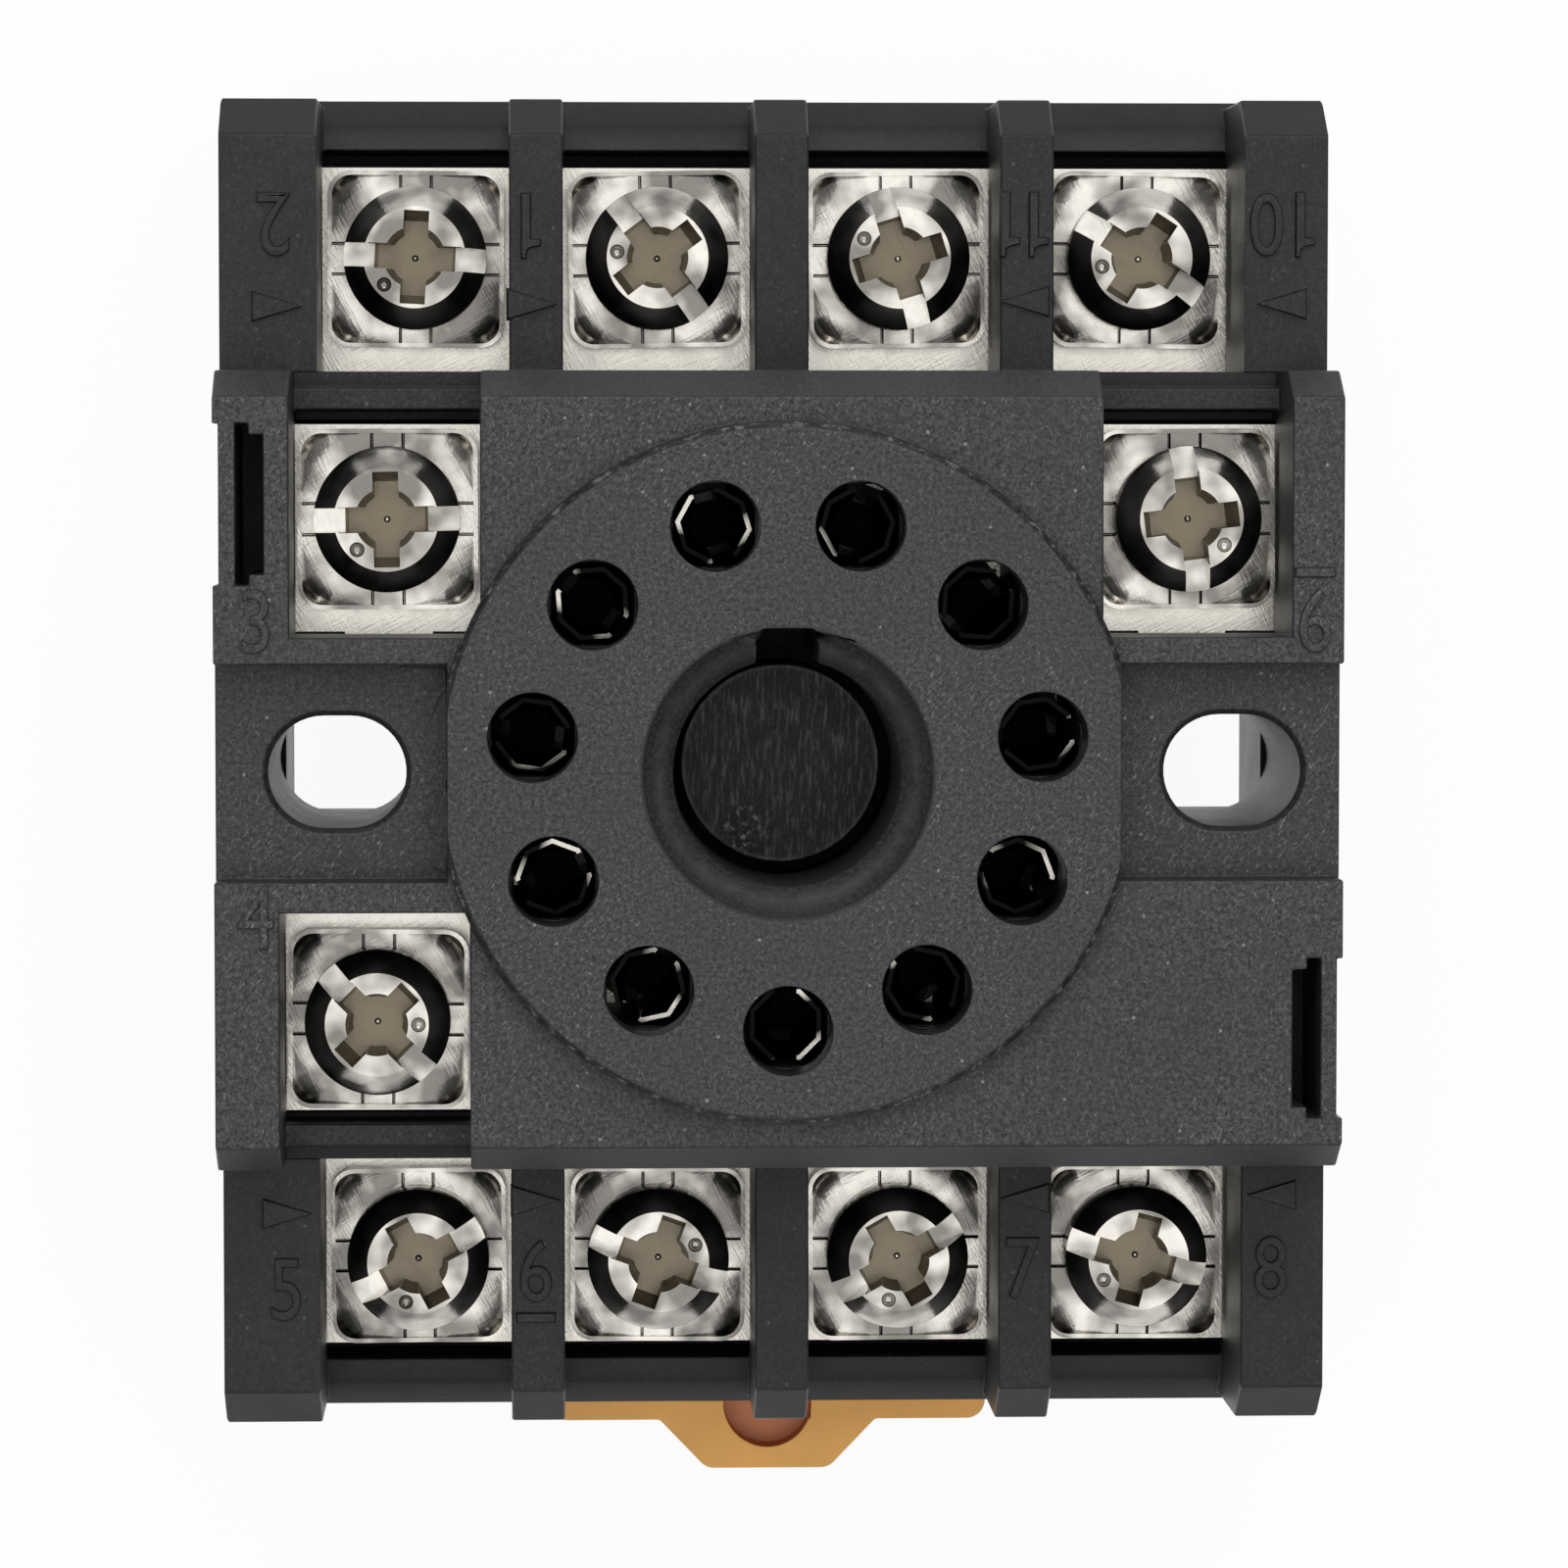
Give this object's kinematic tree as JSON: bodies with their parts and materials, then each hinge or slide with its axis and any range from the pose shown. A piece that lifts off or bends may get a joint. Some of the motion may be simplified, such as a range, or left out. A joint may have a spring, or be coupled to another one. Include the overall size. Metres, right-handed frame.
{
  "type": "relay socket",
  "caption": "Black plug-in relay socket with a round pin disc and keyed bore, screw terminals between ribs, fixing ears and an orange rail latch.",
  "frame": {"origin": "middle of the outline on the back plane, rail latch included", "axes": "+Z out of the relay face, +Y from the rail latch to the upper terminal row, +X to the right of the face"},
  "size_m": [0.0506, 0.0662, 0.03],
  "materials": {
    "housing": "matt, fine grain",
    "base": "matt, fine grain",
    "latch": "satin",
    "spring": "bright",
    "base_screw": "bright",
    "contact": "nickel-plated",
    "clamp": "nickel-plated",
    "screw": "nickel-plated, polished"
  },
  "bodies": {
    "socket": {"housing": "housing", "base_plate": "base", "latch_spring": "spring", "base_screw_1": "base_screw", "base_screw_2": "base_screw", "contact_1": "contact", "contact_2": "contact", "contact_3": "contact", "contact_4": "contact", "contact_5": "contact", "contact_6": "contact", "contact_7": "contact", "contact_8": "contact", "contact_9": "contact", "contact_10": "contact", "contact_11": "contact"},
    "latch": {"rail_latch": "latch"},
    "clamp_1": {"clamp_1": "clamp"},
    "screw_1": {"screw_1": "screw"},
    "clamp_2": {"clamp_2": "clamp"},
    "screw_2": {"screw_2": "screw"},
    "clamp_3": {"clamp_3": "clamp"},
    "screw_3": {"screw_3": "screw"},
    "clamp_4": {"clamp_4": "clamp"},
    "screw_4": {"screw_4": "screw"},
    "clamp_5": {"clamp_5": "clamp"},
    "screw_5": {"screw_5": "screw"},
    "clamp_6": {"clamp_6": "clamp"},
    "screw_6": {"screw_6": "screw"},
    "clamp_7": {"clamp_7": "clamp"},
    "screw_7": {"screw_7": "screw"},
    "clamp_8": {"clamp_8": "clamp"},
    "screw_8": {"screw_8": "screw"},
    "clamp_9": {"clamp_9": "clamp"},
    "screw_9": {"screw_9": "screw"},
    "clamp_10": {"clamp_10": "clamp"},
    "screw_10": {"screw_10": "screw"},
    "clamp_11": {"clamp_11": "clamp"},
    "screw_11": {"screw_11": "screw"}
  },
  "joints": [
    {"name": "latch_slide", "type": "slide", "parent": "socket", "child": "latch", "axis": [0, -1, 0], "range_m": [0, 0.003], "stiffness_N_per_m": 400, "springref_m": -0.003, "deforming": ["latch_spring"]},
    {"name": "clamp_lift_1", "type": "slide", "parent": "socket", "child": "clamp_1", "axis": [0, 0, 1], "range_m": [0, 0.003]},
    {"name": "screw_turn_1", "type": "hinge", "parent": "clamp_1", "child": "screw_1", "pos_m": [-0.0053, 0.02565, 0.0162], "axis": [0, 0, 1], "range_deg": [0, 1800]},
    {"name": "clamp_lift_2", "type": "slide", "parent": "socket", "child": "clamp_2", "axis": [0, 0, 1], "range_m": [0, 0.003]},
    {"name": "screw_turn_2", "type": "hinge", "parent": "clamp_2", "child": "screw_2", "pos_m": [-0.0165, 0.02565, 0.0162], "axis": [0, 0, 1], "range_deg": [0, 1800]},
    {"name": "clamp_lift_3", "type": "slide", "parent": "socket", "child": "clamp_3", "axis": [0, 0, 1], "range_m": [0, 0.003]},
    {"name": "screw_turn_3", "type": "hinge", "parent": "clamp_3", "child": "screw_3", "pos_m": [-0.01765, 0.01365, 0.0234], "axis": [0, 0, 1], "range_deg": [0, 1800]},
    {"name": "clamp_lift_4", "type": "slide", "parent": "socket", "child": "clamp_4", "axis": [0, 0, 1], "range_m": [0, 0.003]},
    {"name": "screw_turn_4", "type": "hinge", "parent": "clamp_4", "child": "screw_4", "pos_m": [-0.01815, -0.00915, 0.0234], "axis": [0, 0, 1], "range_deg": [0, 1800]},
    {"name": "clamp_lift_5", "type": "slide", "parent": "socket", "child": "clamp_5", "axis": [0, 0, 1], "range_m": [0, 0.003]},
    {"name": "screw_turn_5", "type": "hinge", "parent": "clamp_5", "child": "screw_5", "pos_m": [-0.0165, -0.02095, 0.0162], "axis": [0, 0, 1], "range_deg": [0, 1800]},
    {"name": "clamp_lift_6", "type": "slide", "parent": "socket", "child": "clamp_6", "axis": [0, 0, 1], "range_m": [0, 0.003]},
    {"name": "screw_turn_6", "type": "hinge", "parent": "clamp_6", "child": "screw_6", "pos_m": [-0.0053, -0.02095, 0.0162], "axis": [0, 0, 1], "range_deg": [0, 1800]},
    {"name": "clamp_lift_7", "type": "slide", "parent": "socket", "child": "clamp_7", "axis": [0, 0, 1], "range_m": [0, 0.003]},
    {"name": "screw_turn_7", "type": "hinge", "parent": "clamp_7", "child": "screw_7", "pos_m": [0.0059, -0.02095, 0.0162], "axis": [0, 0, 1], "range_deg": [0, 1800]},
    {"name": "clamp_lift_8", "type": "slide", "parent": "socket", "child": "clamp_8", "axis": [0, 0, 1], "range_m": [0, 0.003]},
    {"name": "screw_turn_8", "type": "hinge", "parent": "clamp_8", "child": "screw_8", "pos_m": [0.0171, -0.02095, 0.0162], "axis": [0, 0, 1], "range_deg": [0, 1800]},
    {"name": "clamp_lift_9", "type": "slide", "parent": "socket", "child": "clamp_9", "axis": [0, 0, 1], "range_m": [0, 0.003]},
    {"name": "screw_turn_9", "type": "hinge", "parent": "clamp_9", "child": "screw_9", "pos_m": [0.0187, 0.01365, 0.0234], "axis": [0, 0, 1], "range_deg": [0, 1800]},
    {"name": "clamp_lift_10", "type": "slide", "parent": "socket", "child": "clamp_10", "axis": [0, 0, 1], "range_m": [0, 0.003]},
    {"name": "screw_turn_10", "type": "hinge", "parent": "clamp_10", "child": "screw_10", "pos_m": [0.0171, 0.02565, 0.0162], "axis": [0, 0, 1], "range_deg": [0, 1800]},
    {"name": "clamp_lift_11", "type": "slide", "parent": "socket", "child": "clamp_11", "axis": [0, 0, 1], "range_m": [0, 0.003]},
    {"name": "screw_turn_11", "type": "hinge", "parent": "clamp_11", "child": "screw_11", "pos_m": [0.0059, 0.02565, 0.0162], "axis": [0, 0, 1], "range_deg": [0, 1800]}
  ],
  "couplings": [
    {"joint": "screw_turn_1", "follows": "clamp_lift_1", "rad_per_m": 10472},
    {"joint": "screw_turn_2", "follows": "clamp_lift_2", "rad_per_m": 10472},
    {"joint": "screw_turn_3", "follows": "clamp_lift_3", "rad_per_m": 10472},
    {"joint": "screw_turn_4", "follows": "clamp_lift_4", "rad_per_m": 10472},
    {"joint": "screw_turn_5", "follows": "clamp_lift_5", "rad_per_m": 10472},
    {"joint": "screw_turn_6", "follows": "clamp_lift_6", "rad_per_m": 10472},
    {"joint": "screw_turn_7", "follows": "clamp_lift_7", "rad_per_m": 10472},
    {"joint": "screw_turn_8", "follows": "clamp_lift_8", "rad_per_m": 10472},
    {"joint": "screw_turn_9", "follows": "clamp_lift_9", "rad_per_m": 10472},
    {"joint": "screw_turn_10", "follows": "clamp_lift_10", "rad_per_m": 10472},
    {"joint": "screw_turn_11", "follows": "clamp_lift_11", "rad_per_m": 10472}
  ]
}
